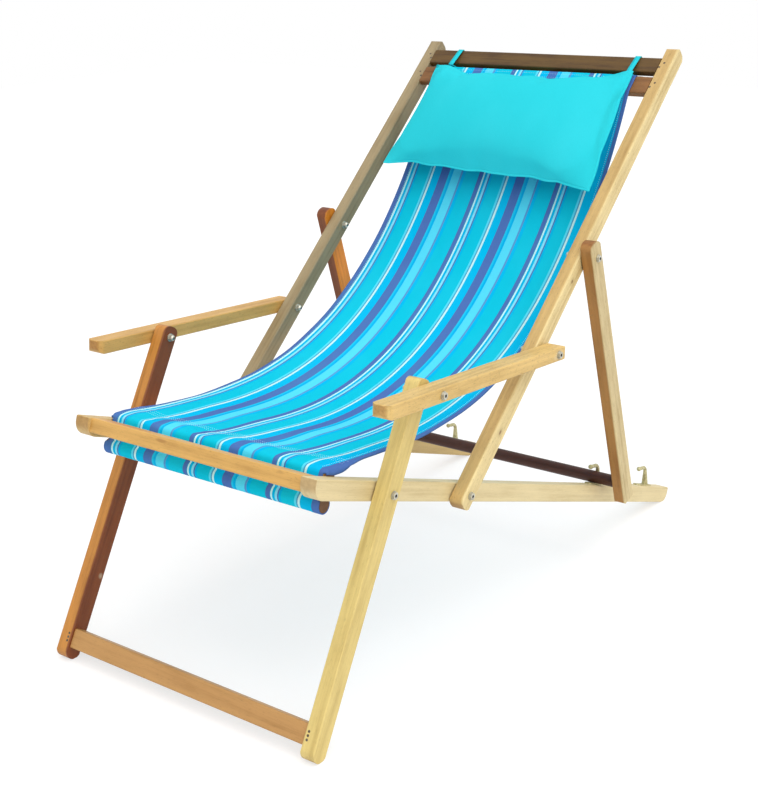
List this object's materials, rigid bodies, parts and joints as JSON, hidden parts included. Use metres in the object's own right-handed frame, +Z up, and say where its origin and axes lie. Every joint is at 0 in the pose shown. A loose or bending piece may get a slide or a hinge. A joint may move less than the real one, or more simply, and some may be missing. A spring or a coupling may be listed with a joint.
{
  "type": "deck chair",
  "caption": "Folding wooden deck chair with arms: striped cloth sling between slotted bars, prop frame held in hooks on the seat rails, and a head pillow on tape loops.",
  "frame": {"origin": "the point of the floor under the middle of the chair's bounding box", "axes": "+Z up, the sitter faces -Y, +X to the sitter's left; X = 0 is the plane of symmetry"},
  "size_m": [0.6076, 1.1591, 0.8875],
  "materials": {
    "pale_wood": "planed, clear satin varnish, pale yellow tan",
    "tan_wood": "planed, clear satin varnish, golden tan",
    "orange_wood": "planed, clear satin varnish, orange brown",
    "mid_brown_wood": "planed, clear satin varnish, mid brown",
    "dark_wood": "planed, dark brown",
    "red_brown_wood": "turned round, very dark red brown",
    "hook_brass": "cast, dull pale brass",
    "sling_cloth": "woven cotton with stripes along its length in navy, teal, sky, aqua and white",
    "pillow_cloth": "plain turquoise cotton",
    "zinc_steel": "zinc plated, dull"
  },
  "bodies": {
    "seat_frame": {"seat_rail_left": "pale_wood", "seat_rail_right": "pale_wood", "front_cross_rail": "orange_wood", "second_cross_rail": "orange_wood", "front_hem_dowel": "dark_wood", "front_hook_left": "hook_brass", "front_hook_right": "hook_brass", "rear_hook_left": "hook_brass", "rear_hook_right": "hook_brass", "hook_screws": "zinc_steel", "seat_pivot_bolts": "zinc_steel", "seat_pivot_washers": "zinc_steel", "seat_pivot_cap_nuts": "zinc_steel", "sling": "sling_cloth"},
    "back_frame": {"back_rail_left": "tan_wood", "back_rail_right": "tan_wood", "upper_head_bar": "dark_wood", "lower_head_bar": "dark_wood", "rear_hem_dowel": "dark_wood", "head_bar_screws": "zinc_steel", "back_pivot_bolts": "zinc_steel", "back_pivot_washers": "zinc_steel", "back_pivot_cap_nuts": "zinc_steel"},
    "leg_frame": {"leg_left": "pale_wood", "leg_right": "orange_wood", "stretcher": "mid_brown_wood", "stretcher_nails": "zinc_steel", "leg_pivot_stubs": "zinc_steel", "leg_pivot_washers": "zinc_steel", "leg_pivot_cap_nuts": "zinc_steel"},
    "arm_left": {"arm_left": "tan_wood", "arm_bolt_left": "zinc_steel", "arm_washer_left": "zinc_steel"},
    "arm_right": {"arm_right": "tan_wood", "arm_bolt_right": "zinc_steel", "arm_washer_right": "zinc_steel"},
    "prop_frame": {"prop_leg_left": "tan_wood", "prop_leg_right": "orange_wood", "prop_bar": "red_brown_wood"},
    "head_pillow": {"pillow": "pillow_cloth", "pillow_loops": "pillow_cloth"}
  },
  "joints": [
    {"name": "back_fold", "type": "hinge", "parent": "seat_frame", "child": "back_frame", "pos_m": [0, -0.18193, 0.26908], "axis": [1, 0, 0], "range_deg": [0, 20], "deforming": ["sling"]},
    {"name": "leg_fold", "type": "hinge", "parent": "seat_frame", "child": "leg_frame", "pos_m": [0, -0.38327, 0.33859], "axis": [1, 0, 0], "range_deg": [0, 28.9]},
    {"name": "arm_fold_left", "type": "hinge", "parent": "back_frame", "child": "arm_left", "pos_m": [0, 0.02217, 0.44964], "axis": [1, 0, 0], "range_deg": [-13.19, 0]},
    {"name": "arm_fold_right", "type": "hinge", "parent": "back_frame", "child": "arm_right", "pos_m": [0, 0.02217, 0.44964], "axis": [1, 0, 0], "range_deg": [-13.19, 0]},
    {"name": "prop_fold", "type": "hinge", "parent": "back_frame", "child": "prop_frame", "pos_m": [0, 0.16634, 0.5772], "axis": [1, 0, 0], "range_deg": [-33.78, 0]},
    {"name": "pillow_flip", "type": "hinge", "parent": "back_frame", "child": "head_pillow", "pos_m": [0, 0.48563, 0.85166], "axis": [1, 0, 0], "range_deg": [-310, 0], "deforming": ["pillow_loops"]}
  ],
  "couplings": [
    {"joint": "leg_fold", "follows": "back_fold", "ratio": 1.4447},
    {"joint": "arm_fold_left", "follows": "back_fold", "ratio": -0.6594},
    {"joint": "arm_fold_right", "follows": "back_fold", "ratio": -0.6594},
    {"joint": "prop_fold", "follows": "back_fold", "ratio": -1.6889}
  ]
}
